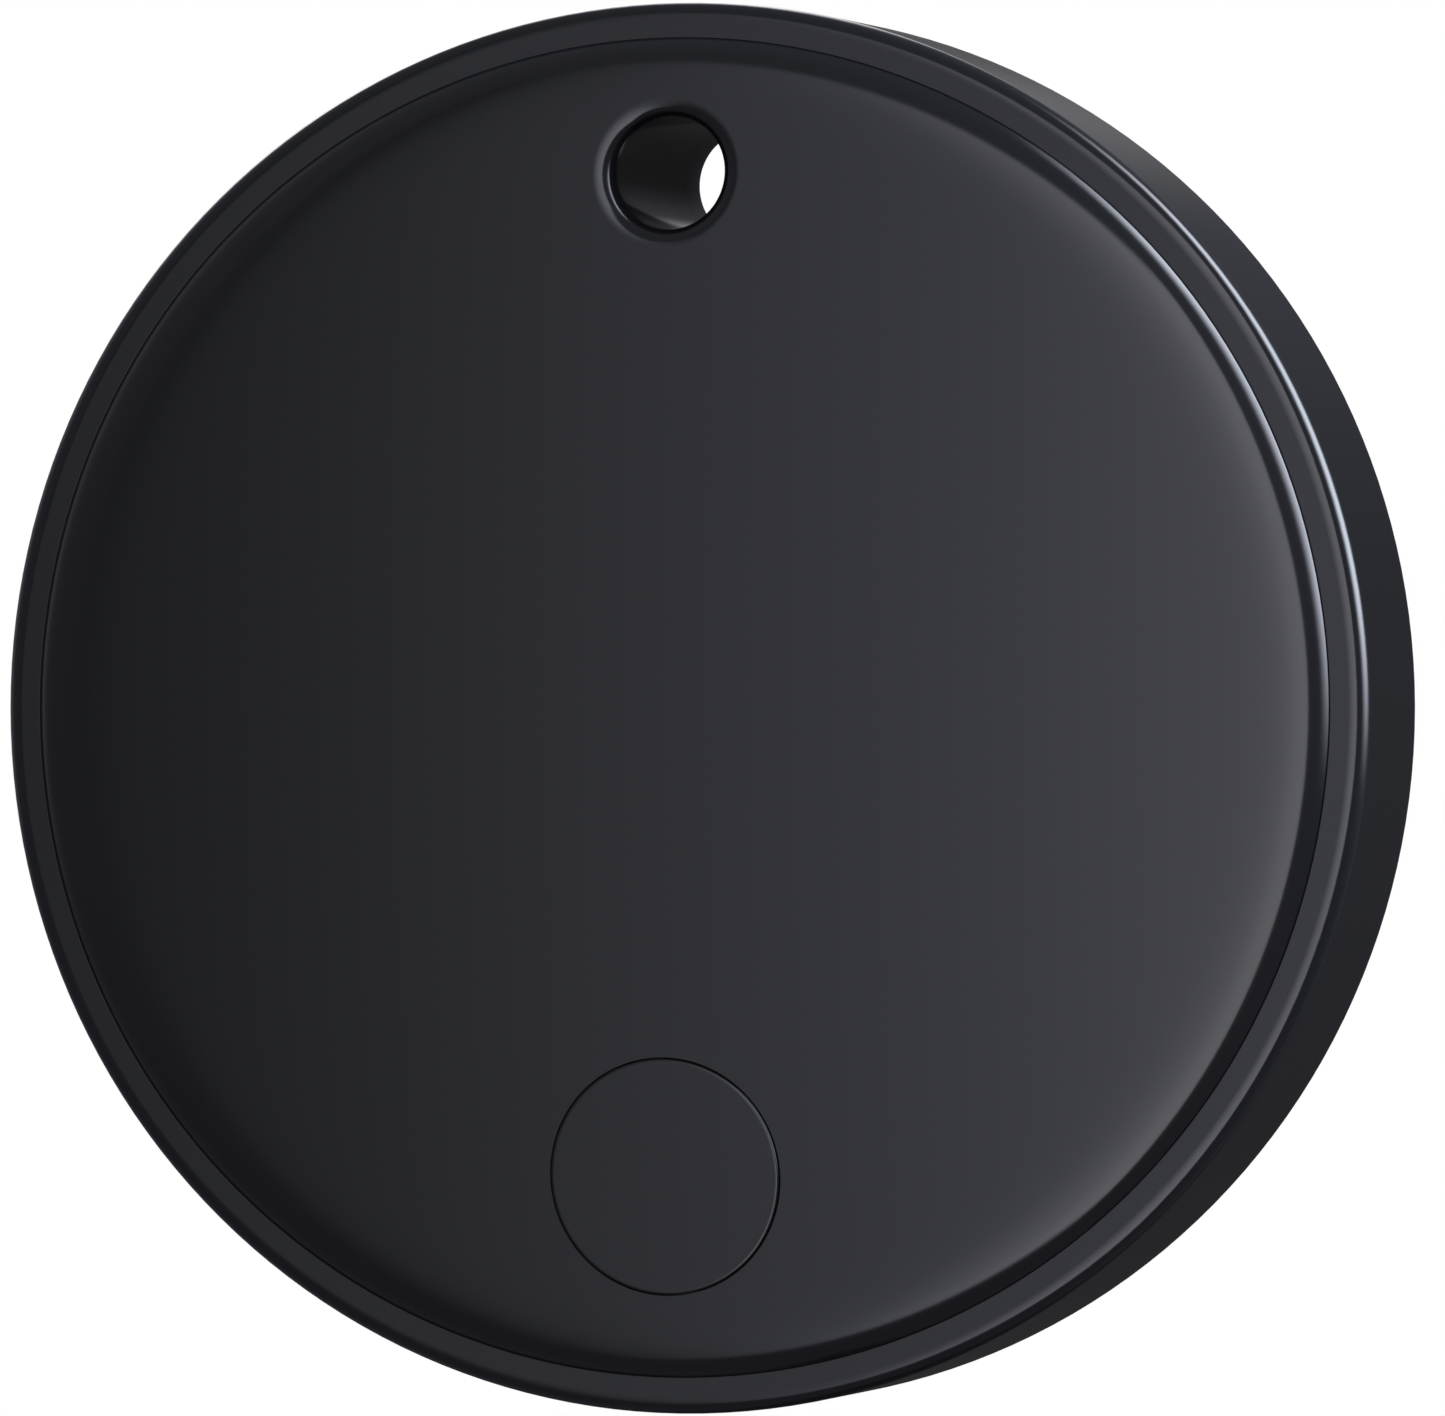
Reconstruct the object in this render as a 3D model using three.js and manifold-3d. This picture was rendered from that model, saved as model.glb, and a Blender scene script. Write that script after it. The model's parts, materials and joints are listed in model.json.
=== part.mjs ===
// Round bluetooth tracker tag: a drum-shaped case with a keyring hole, a flush push button and a
// rear cover that pulls off to change the coin cell.
//
// Millimetres, +Z up. The tag hangs upright with its front facing -Y, and the origin is the middle
// of the keyring hole. Every piece is drawn in the tag's own directions, x to the right, y up the
// front and z out of the front, with z = 0 on the flat ring around the front panel. One group then
// stands the whole tag upright.

import * as THREE from 'three';
import { mergeVertices } from 'three/addons/utils/BufferGeometryUtils.js';
import Module from 'manifold-3d';

// Case
const CASE_RADIUS = 19;
const CASE_DEPTH = 6.1;              // flat front ring to rear edge of the side wall
const PANEL_RADIUS = 18;             // inner edge of the front ring, and of the rear edge
const FRONT_FILLET = 0.5;
const RING_FALL = 0.026;             // the front ring leans outwards by this much across its width
const REAR_CHAMFER = 0.12;
const PRY_NOTCH_WIDTH = 7;           // notch in the rear edge, at the bottom, to pry the rear cover off
const PRY_NOTCH_DEPTH = 0.7;
const JOINT_LINE = 0.05;             // gap that shows between neighbouring pieces of the casing
const FIT = 0.05;                    // gap between hidden pieces that rest on each other
const SHELL = 1;                     // thickness of both covers

// Front panel: a shallow dome whose border rolls down to the ring
const DOME_RISE = 1.6;
const DOME_RADIUS = 157;
const ROLL_DEPTH = 0.52;              // how far the border has rolled down where it meets the ring
const ROLL_LENGTH = 0.4;              // width over which the roll grows about threefold

// Rear cover: a flat face with a rounded shoulder
const REAR_RISE = 2.1;
const REAR_SHOULDER = 1.95;

// Keyring hole
const HOLE_Y = 14.35;
const BORE_RADIUS = 1.525;
const BORE_WALL = 1.025;
const FRONT_MOUTH = 0.5;
const REAR_MOUTH = 0.35;

// Push button
const BUTTON_Y = -12.57;
const BUTTON_RADIUS = 3.165;
const FLANGE_RADIUS = 3.9;
const NUB_RADIUS = 1;
const BUTTON_TRAVEL = 0.2;

// Coin cell, 20 mm across and 3.2 mm thick
const CELL_RADIUS = 10;
const CELL_THICKNESS = 3.2;

// Circuit board
const BOARD_RADIUS = 17;
const BOARD_THICKNESS = 0.8;

// Levels, from the front to the rear
const FLANGE_TOP = -0.15;
const FLANGE_BOTTOM = -0.45;
const NUB_BOTTOM = -0.6;
const BOARD_TOP = -1.6;
const BOARD_BOTTOM = BOARD_TOP - BOARD_THICKNESS;
const SHELF_TOP = BOARD_BOTTOM - FIT;
const SHELF_BOTTOM = -3.5;
const CELL_FRONT = -3.1;
const CELL_REAR = CELL_FRONT - CELL_THICKNESS;
const CASE_SEAL_THICKNESS = 0.6;
const SLEEVE_SPLIT = -6.4;           // where the keyring sleeve ends, on its seal on the rear cover
const KEYRING_SEAL_THICKNESS = 0.25;
const CARRIER_REAR = -6.6;
const REAR_FACE = -(CASE_DEPTH + REAR_RISE);

// Radii that neighbouring pieces share
const SHELF_RADIUS = 16.6;
const SKIRT_INNER = 17.1;
const SLEEVE_RADIUS = BORE_RADIUS + BORE_WALL;
const SLEEVE_CLEARANCE = SLEEVE_RADIUS + 0.3;
const REAR_COVER_RADIUS = PANEL_RADIUS - 0.15;
const PAST = 1;                      // how far a cutting tool runs past what it cuts

// Number of sides on a full turn
const ROUND = 64;
const MEDIUM = 40;
const SMALL = 24;

// ---------------------------------------------------------------- solids

const wasm = await Module();
wasm.setup();

function solid(geometry) {
  const bare = geometry.clone();
  bare.deleteAttribute('normal');
  bare.deleteAttribute('uv');
  const merged = mergeVertices(bare, 1e-5);
  const corners = merged.index.array;
  const triangles = [];
  for (let i = 0; i < corners.length; i += 3) {
    const [a, b, c] = corners.subarray(i, i + 3);
    if (a !== b && b !== c && c !== a) triangles.push(a, b, c);
  }
  return new wasm.Manifold(new wasm.Mesh({
    numProp: 3,
    vertProperties: merged.attributes.position.array,
    triVerts: Uint32Array.from(triangles),
  }));
}

// A shape turned about the tag's axis from [radius, z] points in anticlockwise order, which start
// and end on the axis or are closed here.
function turnedGeometry(outline, sides = ROUND) {
  const points = outline.map(([radius, z]) => new THREE.Vector2(radius, z));
  const first = points[0];
  const last = points[points.length - 1];
  if (first.x > 0 || last.x > 0) points.push(first.clone());
  return new THREE.LatheGeometry(points, sides).rotateX(Math.PI / 2);
}

function turned(outline, sides = ROUND) {
  return solid(turnedGeometry(outline, sides));
}

function disc(radius, low, high, x = 0, y = 0, sides = SMALL) {
  const geometry = new THREE.CylinderGeometry(radius, radius, high - low, sides);
  return solid(geometry.rotateX(Math.PI / 2).translate(x, y, (low + high) / 2));
}

function ring(inner, outer, low, high, sides = ROUND) {
  return turned([[inner, low], [outer, low], [outer, high], [inner, high]], sides);
}

function block([x0, x1], [y0, y1], [z0, z1], turn = 0, about = [0, 0]) {
  const geometry = new THREE.BoxGeometry(x1 - x0, y1 - y0, z1 - z0);
  geometry.translate((x0 + x1) / 2, (y0 + y1) / 2, (z0 + z1) / 2);
  return solid(geometry.rotateZ(turn).translate(about[0], about[1], 0));
}

// A board component: a block with a small chamfer round its top and bottom edges
function component(width, height, thickness, x, y, turn = 0) {
  const chamfer = Math.min(0.08, thickness / 6);
  const w = width / 2 - chamfer;
  const h = height / 2 - chamfer;
  const outline = new THREE.Shape([
    new THREE.Vector2(-w, -h), new THREE.Vector2(w, -h), new THREE.Vector2(w, h), new THREE.Vector2(-w, h),
  ]);
  const geometry = new THREE.ExtrudeGeometry(outline, {
    depth: thickness - 2 * chamfer,
    bevelSize: chamfer,
    bevelThickness: chamfer,
    bevelSegments: 1,
  });
  return solid(geometry.rotateZ(turn).translate(x, y, BOARD_TOP + FIT / 2 + chamfer));
}

// A bent strip of sheet metal: [x, z] points along its middle, with a thickness, and a width along y
function strip(path, thickness, width, turn = 0, about = [0, 0]) {
  const points = path.map(([x, z]) => new THREE.Vector2(x, z));
  const sides = [[], []];
  points.forEach((point, i) => {
    const before = points[Math.max(i - 1, 0)];
    const after = points[Math.min(i + 1, points.length - 1)];
    const along = after.clone().sub(before).normalize();
    const across = new THREE.Vector2(-along.y, along.x).multiplyScalar(thickness / 2);
    sides[0].push(point.clone().sub(across));
    sides[1].push(point.clone().add(across));
  });
  const outline = new THREE.Shape([...sides[0], ...sides[1].reverse()]);
  const geometry = new THREE.ExtrudeGeometry(outline, { depth: width, bevelEnabled: false });
  geometry.translate(0, 0, -width / 2).rotateX(Math.PI / 2);
  return solid(geometry.rotateZ(turn).translate(about[0], about[1], 0));
}

// Points on an ellipse about [radius, z], from one angle to another in degrees
function bend(radius, z, across, along, from, to, steps) {
  const points = [];
  for (let i = 0; i <= steps; i += 1) {
    const angle = THREE.MathUtils.degToRad(from + (to - from) * i / steps);
    points.push([radius + across * Math.cos(angle), z + along * Math.sin(angle)]);
  }
  return points;
}

const join = (first, ...others) => others.reduce((whole, other) => whole.add(other), first);
const cut = (first, ...tools) => tools.reduce((whole, tool) => whole.subtract(tool), first);

// ---------------------------------------------------------------- finishes

const FINISHES = {
  black_plastic: { color: 0x26272a, roughness: 0.42, metalness: 0 },
  inner_plastic: { color: 0x1d1d1f, roughness: 0.6, metalness: 0 },
  silicone: { color: 0x2b2b2d, roughness: 0.75, metalness: 0 },
  foam: { color: 0x3b3b3d, roughness: 0.95, metalness: 0 },
  board: { color: 0x123a26, roughness: 0.45, metalness: 0 },
  chip: { color: 0x1a1a1b, roughness: 0.5, metalness: 0 },
  ceramic: { color: 0xd9d4c6, roughness: 0.5, metalness: 0 },
  capacitor: { color: 0x9a7b57, roughness: 0.5, metalness: 0 },
  steel: { color: 0xc5c7c9, roughness: 0.28, metalness: 1 },
  spring_metal: { color: 0xcdb67a, roughness: 0.3, metalness: 1 },
  brass: { color: 0xc9a24b, roughness: 0.3, metalness: 1 },
};

function piece(name, body, finish) {
  const { vertProperties, triVerts } = body.getMesh();
  const geometry = new THREE.BufferGeometry();
  geometry.setAttribute('position', new THREE.BufferAttribute(vertProperties, 3));
  geometry.setIndex(new THREE.BufferAttribute(triVerts, 1));
  geometry.computeVertexNormals();
  const mesh = new THREE.Mesh(geometry, new THREE.MeshStandardMaterial(FINISHES[finish]));
  mesh.name = name;
  return mesh;
}

// ---------------------------------------------------------------- casing

const crownHeight = (radius) => DOME_RISE - radius ** 2 / (2 * DOME_RADIUS);

// The panel's outer surface from its border to the axis: the dome, which rolls down towards the border
function panelSurface() {
  const border = PANEL_RADIUS - JOINT_LINE;
  const inwards = [0, 0.12, 0.28, 0.5, 0.85, 1.5, 3.5, 8, 13, border];
  return inwards.map((distance) => {
    const radius = border - distance;
    const roll = ROLL_DEPTH * Math.exp((radius - PANEL_RADIUS) / ROLL_LENGTH);
    return [radius, crownHeight(radius) - roll];
  });
}

// The tool that opens the bore and rounds one of its mouths, pointing along +z from z = 0
function mouthTool(fillet) {
  const outline = [
    [0, -fillet],
    ...bend(BORE_RADIUS + fillet, -fillet, fillet, fillet, 180, 90, 4),
    [BORE_RADIUS + fillet, PAST],
    [0, PAST],
  ];
  return turnedGeometry(outline, SMALL);
}

const bore = () => disc(BORE_RADIUS, REAR_FACE - PAST, DOME_RISE + PAST, 0, HOLE_Y);

function outerFrame() {
  const outline = [
    [PANEL_RADIUS, -CASE_DEPTH],
    [CASE_RADIUS - REAR_CHAMFER, -CASE_DEPTH],
    [CASE_RADIUS, -CASE_DEPTH + REAR_CHAMFER],
    ...bend(CASE_RADIUS - FRONT_FILLET, -FRONT_FILLET - RING_FALL, FRONT_FILLET, FRONT_FILLET, 0, 90, 4),
    [PANEL_RADIUS, 0],
    [PANEL_RADIUS, SHELF_TOP],
    [SHELF_RADIUS, SHELF_TOP],
    [SHELF_RADIUS, SHELF_BOTTOM],
    [PANEL_RADIUS, SHELF_BOTTOM],
  ];
  const sleeveNotch = disc(SLEEVE_CLEARANCE, SHELF_BOTTOM - PAST, SHELF_TOP + PAST, 0, HOLE_Y);
  const pryNotch = block(
    [-PRY_NOTCH_WIDTH / 2, PRY_NOTCH_WIDTH / 2],
    [-CASE_RADIUS - PAST, -PANEL_RADIUS + PAST],
    [-CASE_DEPTH - PAST, -CASE_DEPTH + PRY_NOTCH_DEPTH],
  );
  return cut(turned(outline), sleeveNotch, pryNotch);
}

function frontCover() {
  const skirtBottom = SHELF_TOP + FIT;
  const border = PANEL_RADIUS - JOINT_LINE;
  const innerSurface = [0, 8, 13, SKIRT_INNER].map((radius) => [radius, crownHeight(radius) - SHELL]);
  const shell = turned([
    ...innerSurface,
    [SKIRT_INNER, skirtBottom],
    [border, skirtBottom],
    ...panelSurface(),
  ]);
  const sleeve = disc(SLEEVE_RADIUS, SLEEVE_SPLIT, crownHeight(SKIRT_INNER) - SHELL / 2, 0, HOLE_Y);
  const lean = Math.asin(HOLE_Y / DOME_RADIUS);
  const mouth = mouthTool(FRONT_MOUTH).rotateX(-lean).translate(0, HOLE_Y, crownHeight(HOLE_Y));
  const buttonHole = disc(BUTTON_RADIUS + JOINT_LINE, SHELF_TOP, DOME_RISE + PAST, 0, BUTTON_Y, MEDIUM);
  const flangeRecess = disc(FLANGE_RADIUS + 5 * FIT, SHELF_TOP, FLANGE_TOP + FIT, 0, BUTTON_Y, MEDIUM);
  return cut(join(shell, sleeve), bore(), solid(mouth), buttonHole, flangeRecess);
}

function rearCover() {
  const shoulderStart = REAR_COVER_RADIUS - REAR_SHOULDER;
  const shoulderTop = -CASE_DEPTH - JOINT_LINE;
  const innerFace = REAR_FACE + SHELL;
  const skirtTop = SHELF_BOTTOM - CASE_SEAL_THICKNESS - 2 * FIT;
  const sleeveTop = SLEEVE_SPLIT - KEYRING_SEAL_THICKNESS - 2 * FIT;
  const shell = turned([
    [0, REAR_FACE],
    ...bend(shoulderStart, shoulderTop, REAR_SHOULDER, shoulderTop - REAR_FACE, -90, 0, 6),
    [REAR_COVER_RADIUS, skirtTop],
    [SKIRT_INNER, skirtTop],
    [SKIRT_INNER, innerFace + SHELL / 2],
    [shoulderStart, innerFace],
    [0, innerFace],
  ]);
  const sleeve = disc(SLEEVE_RADIUS, innerFace - SHELL / 2, sleeveTop, 0, HOLE_Y);
  const mouth = mouthTool(REAR_MOUTH).rotateX(Math.PI).translate(0, HOLE_Y, REAR_FACE);
  return cut(join(shell, sleeve), bore(), solid(mouth));
}

function caseSeal() {
  const high = SHELF_BOTTOM - FIT;
  return ring(SKIRT_INNER, REAR_COVER_RADIUS - FIT, high - CASE_SEAL_THICKNESS, high);
}

function keyringSeal() {
  const high = SLEEVE_SPLIT - FIT;
  const washer = disc(SLEEVE_RADIUS, high - KEYRING_SEAL_THICKNESS, high, 0, HOLE_Y);
  return cut(washer, disc(BORE_RADIUS + JOINT_LINE, high - PAST, high + PAST, 0, HOLE_Y));
}

// ---------------------------------------------------------------- button and switch

function buttonCap() {
  const dome = turned([[0, FLANGE_BOTTOM], [PANEL_RADIUS - JOINT_LINE, FLANGE_BOTTOM], ...panelSurface()]);
  const plug = disc(BUTTON_RADIUS, FLANGE_BOTTOM - PAST, DOME_RISE + PAST, 0, BUTTON_Y, MEDIUM);
  const flange = disc(FLANGE_RADIUS, FLANGE_BOTTOM, FLANGE_TOP, 0, BUTTON_Y, MEDIUM);
  const nub = disc(NUB_RADIUS, NUB_BOTTOM, FLANGE_BOTTOM + FIT, 0, BUTTON_Y);
  return join(dome.intersect(plug), flange, nub);
}

const SWITCH_HALF = 2.2;
const SWITCH_PLATE = 0.1;
const SWITCH_FLOOR = 0.15;
const SWITCH_POCKET = 1.7;
const SWITCH_DOME_RISE = 0.1;
const SWITCH_DOME_SHEET = 0.07;
const STEM_RADIUS = 1.05;
const CLOSE = 0.02;                  // gap inside the switch and the sounder
const STEM_TOP = NUB_BOTTOM - CLOSE;
const SWITCH_TOP = STEM_TOP - BUTTON_TRAVEL - 3 * CLOSE;
const SWITCH_DOME_TOP = SWITCH_TOP - SWITCH_PLATE - CLOSE;

function switchBase() {
  const low = BOARD_TOP + FIT / 2;
  const high = SWITCH_TOP - SWITCH_PLATE - CLOSE;
  const span = [-SWITCH_HALF, SWITCH_HALF];
  const pocket = disc(SWITCH_POCKET, low + SWITCH_FLOOR, high + PAST, 0, BUTTON_Y);
  return cut(block(span, span, [low, high], 0, [0, BUTTON_Y]), pocket);
}

function switchPlate() {
  const span = [-SWITCH_HALF, SWITCH_HALF];
  const plate = block(span, span, [SWITCH_TOP - SWITCH_PLATE, SWITCH_TOP], 0, [0, BUTTON_Y]);
  return cut(plate, disc(STEM_RADIUS + JOINT_LINE, SWITCH_TOP - PAST, SWITCH_TOP + PAST, 0, BUTTON_Y));
}

function switchDome() {
  const rim = SWITCH_POCKET - JOINT_LINE;
  const over = [1, 0.7, 0.4, 0].map((share) => [
    rim * share, SWITCH_DOME_TOP - SWITCH_DOME_RISE * share ** 2,
  ]);
  const under = over.map(([radius, z]) => [radius, z - SWITCH_DOME_SHEET]).reverse();
  const shape = turnedGeometry([...under, ...over], SMALL);
  return solid(shape.translate(0, BUTTON_Y, 0));
}

function switchStem() {
  return disc(STEM_RADIUS, SWITCH_DOME_TOP + CLOSE, STEM_TOP, 0, BUTTON_Y);
}

// ---------------------------------------------------------------- circuit board

function circuitBoard() {
  const board = disc(BOARD_RADIUS, BOARD_BOTTOM, BOARD_TOP, 0, 0, ROUND);
  const through = [BOARD_BOTTOM - PAST, BOARD_TOP + PAST];
  const sleeveNotch = disc(SLEEVE_CLEARANCE, ...through, 0, HOLE_Y);
  const mouth = block([-SLEEVE_RADIUS, SLEEVE_RADIUS], [HOLE_Y + 1, BOARD_RADIUS + PAST], through);
  return cut(board, sleeveNotch, mouth);
}

// name, finish, width, height, thickness, x, y, turn in degrees
const COMPONENTS = [
  ['bluetooth_chip', 'chip', 5, 5, 0.75, -7.5, -6.5, 0],
  ['chip_antenna', 'ceramic', 6.5, 2, 0.8, 10.6, -10.6, 45],
  ['crystal_main', 'steel', 2.5, 2, 0.55, -11.8, -6.2, 90],
  ['crystal_clock', 'steel', 3.2, 1.5, 0.7, -3.2, -8.2, 0],
  ['boost_inductor', 'chip', 3, 3, 1.1, 8.6, 8.2, 0],
  ['amplifier_chip', 'chip', 2, 2, 0.6, 11.6, 4.4, 0],
  ['capacitor_1', 'capacitor', 1.6, 0.8, 0.8, -7.5, -2.6, 0],
  ['capacitor_2', 'capacitor', 1.6, 0.8, 0.8, -10.3, -10.3, 45],
  ['capacitor_3', 'capacitor', 2, 1.25, 0.9, 12.2, 0.6, 90],
  ['capacitor_4', 'capacitor', 2, 1.25, 0.9, 5.4, 10.6, 90],
  ['resistor_1', 'chip', 1, 0.5, 0.35, 6.2, -8.4, 45],
  ['resistor_2', 'chip', 1, 0.5, 0.35, 7.4, -7.2, 45],
];

function boardComponents() {
  return COMPONENTS.map(([name, finish, width, height, thickness, x, y, turn]) => {
    const body = component(width, height, thickness, x, y, THREE.MathUtils.degToRad(turn));
    return piece(name, body, finish);
  });
}

// ---------------------------------------------------------------- sounder

const PLATE_RADIUS = 7.5;
const PLATE_BOTTOM = 0.03;
const PLATE_THICKNESS = 0.15;
const CERAMIC_RADIUS = 5;
const CERAMIC_BOTTOM = PLATE_BOTTOM - PLATE_THICKNESS - CLOSE;
const FOAM_WIDTH = 1;
const FOAM_THICKNESS = 0.2;

function piezoFoam() {
  const low = PLATE_BOTTOM + PLATE_THICKNESS + CLOSE;
  const outer = PLATE_RADIUS - JOINT_LINE;
  return ring(outer - FOAM_WIDTH, outer, low, low + FOAM_THICKNESS, MEDIUM);
}

function piezoPlate() {
  return disc(PLATE_RADIUS, PLATE_BOTTOM, PLATE_BOTTOM + PLATE_THICKNESS, 0, 0, MEDIUM);
}

function piezoCeramic() {
  return disc(CERAMIC_RADIUS, CERAMIC_BOTTOM, PLATE_BOTTOM - CLOSE, 0, 0, MEDIUM);
}

// A C-shaped spring that stands on the board and presses on the sounder at the given height
function piezoContact(tip, angle, distance) {
  const sheet = 0.1;
  const low = BOARD_TOP + CLOSE + sheet / 2;
  const high = tip - CLOSE - sheet / 2;
  const path = [
    [0.9, low], [-0.5, low], [-0.8, low + 0.25], [-0.8, high - 0.45], [-0.5, high - 0.2],
    [0.1, high - 0.1], [0.5, high], [0.9, high - 0.15],
  ];
  const about = [distance * Math.cos(angle), distance * Math.sin(angle)];
  return strip(path, sheet, 1.2, angle, about);
}

// ---------------------------------------------------------------- coin cell and its contacts

function cellCan() {
  const wall = 0.28;
  const inner = CELL_RADIUS - wall;
  return turned([
    [0, CELL_REAR],
    [CELL_RADIUS - 0.35, CELL_REAR],
    [CELL_RADIUS - 0.1, CELL_REAR + 0.1],
    [CELL_RADIUS, CELL_REAR + 0.35],
    [CELL_RADIUS, CELL_FRONT - 0.3],
    [CELL_RADIUS - 0.2, CELL_FRONT - 0.08],
    [CELL_RADIUS - 0.8, CELL_FRONT - 0.2],
    [CELL_RADIUS - 0.8, CELL_FRONT - 0.35],
    [inner, CELL_FRONT - 0.5],
    [inner, CELL_REAR + wall],
    [0, CELL_REAR + wall],
  ], MEDIUM);
}

function cellGasket() {
  return turned([
    [9.35, CELL_REAR + 0.4],
    [9.65, CELL_REAR + 0.4],
    [9.65, CELL_FRONT - 0.55],
    [9.1, CELL_FRONT - 0.42],
    [9.1, CELL_FRONT - 0.1],
    [8.9, CELL_FRONT - 0.1],
    [8.9, CELL_FRONT - 0.65],
    [9.35, CELL_FRONT - 0.65],
  ], MEDIUM);
}

function cellCap() {
  return turned([
    [0, CELL_FRONT - 0.25],
    [8.5, CELL_FRONT - 0.25],
    [8.55, CELL_FRONT - 0.9],
    [9.05, CELL_FRONT - 0.95],
    [9.05, CELL_REAR + 0.5],
    [9.3, CELL_REAR + 0.5],
    [9.3, CELL_FRONT - 0.72],
    [8.85, CELL_FRONT - 0.65],
    [8.85, CELL_FRONT - 0.15],
    [8.7, CELL_FRONT],
    [0, CELL_FRONT],
  ], MEDIUM);
}

function cellPad() {
  return disc(6, REAR_FACE + SHELL + FIT, CELL_REAR - FIT, 0, 0, MEDIUM);
}

// The plastic tray round the cell: a channel open to the rear, with ribs across it
function batteryCarrier() {
  const pocket = CELL_RADIUS + 0.25;
  const wall = 1;
  const outer = SHELF_RADIUS - 0.2;
  const front = BOARD_BOTTOM - 2 * FIT;
  const floor = front - 1.2;
  const flangeTop = SHELF_BOTTOM - FIT;
  const flangeBottom = flangeTop - 0.75;
  const channel = turned([
    [pocket, CARRIER_REAR],
    [pocket + wall, CARRIER_REAR],
    [pocket + wall, floor],
    [outer - wall, floor],
    [outer - wall, CARRIER_REAR],
    [outer, CARRIER_REAR],
    [outer, flangeBottom],
    [SKIRT_INNER - 0.15, flangeBottom],
    [SKIRT_INNER - 0.15, flangeTop],
    [outer, flangeTop],
    [outer, front],
    [pocket, front],
  ]);
  const ribs = [];
  const ribCount = 12;
  for (let i = 0; i < ribCount; i += 1) {
    const turn = (i + 0.5) * 2 * Math.PI / ribCount;
    const across = [pocket + wall / 2, outer - wall / 2];
    ribs.push(block(across, [-0.4, 0.4], [CARRIER_REAR + 0.4, floor + 0.2], turn));
  }
  const through = [CARRIER_REAR - PAST, front + PAST];
  const sleeveNotch = disc(SLEEVE_CLEARANCE, ...through, 0, HOLE_Y);
  const notchMouth = block([-SLEEVE_CLEARANCE, SLEEVE_CLEARANCE], [HOLE_Y, CASE_RADIUS], through);
  const contactSlot = block([-13, -pocket + 0.5], [-2, 2], through);
  const fingerScoop = disc(3, CARRIER_REAR - PAST, CARRIER_REAR + CELL_THICKNESS / 2, pocket + wall, 0);
  return cut(join(channel, ...ribs), sleeveNotch, notchMouth, contactSlot, fingerScoop);
}

function positiveContact() {
  const foot = BOARD_BOTTOM - 0.15;
  return strip([
    [-12.6, foot], [-11.2, foot], [-10.85, foot - 0.3], [-10.8, -3.6], [-10.45, -4.2], [-10.17, -4.8],
    [-10.3, -5.3], [-10.7, -5.7],
  ], 0.18, 3);
}

function negativeContact() {
  const foot = BOARD_BOTTOM - 0.12;
  const tip = CELL_FRONT + 0.12;
  return strip([
    [-5.5, foot], [-4, foot], [-2.6, foot - 0.12], [-1, tip + 0.08], [0, tip], [1, tip + 0.08],
    [2.6, foot - 0.12], [4, foot], [5.5, foot],
  ], 0.15, 3.4);
}

// ---------------------------------------------------------------- the tag

const tag = new THREE.Group();
tag.add(
  piece('outer_frame', outerFrame(), 'black_plastic'),
  piece('front_cover', frontCover(), 'black_plastic'),
  piece('rear_cover', rearCover(), 'black_plastic'),
  piece('case_seal', caseSeal(), 'silicone'),
  piece('keyring_seal', keyringSeal(), 'silicone'),
  piece('button_cap', buttonCap(), 'black_plastic'),
  piece('switch_base', switchBase(), 'inner_plastic'),
  piece('switch_plate', switchPlate(), 'steel'),
  piece('switch_dome', switchDome(), 'steel'),
  piece('switch_stem', switchStem(), 'inner_plastic'),
  piece('circuit_board', circuitBoard(), 'board'),
  ...boardComponents(),
  piece('piezo_foam_ring', piezoFoam(), 'foam'),
  piece('piezo_plate', piezoPlate(), 'brass'),
  piece('piezo_ceramic', piezoCeramic(), 'ceramic'),
  piece('piezo_contact_inner', piezoContact(CERAMIC_BOTTOM, Math.PI / 3, 2.4), 'spring_metal'),
  piece('piezo_contact_outer', piezoContact(PLATE_BOTTOM, Math.PI * 4 / 3, 5.9), 'spring_metal'),
  piece('battery_carrier', batteryCarrier(), 'inner_plastic'),
  piece('battery_can', cellCan(), 'steel'),
  piece('battery_gasket', cellGasket(), 'inner_plastic'),
  piece('battery_cap', cellCap(), 'steel'),
  piece('battery_contact_positive', positiveContact(), 'spring_metal'),
  piece('battery_contact_negative', negativeContact(), 'spring_metal'),
  piece('battery_pad', cellPad(), 'foam'),
);

// Upright: the front turns to face -Y, and the middle of the keyring hole moves to the origin
const holeMiddle = (crownHeight(HOLE_Y) + REAR_FACE) / 2;
tag.rotation.x = Math.PI / 2;
tag.position.set(0, holeMiddle, -HOLE_Y);

const part = new THREE.Group();
part.add(tag);

export default part;
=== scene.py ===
"""A round tracker tag: a drum-shaped black case with a keyring hole, a flush push button, a rear cover
that pulls off, and the coin cell, circuit board and sounder inside.

The scene is in metres, +Z up. The tag hangs upright with its front facing -Y, and the origin is the
middle of the keyring hole. The shapes are drawn in the tag's own directions in millimetres: x to the
right of its axis, up above it, and out in front of the flat ring round the front panel.
"""

import json
import math

import bpy
from bpy.props import FloatProperty, FloatVectorProperty, IntProperty, PointerProperty
from mathutils import Matrix, Vector

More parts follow.
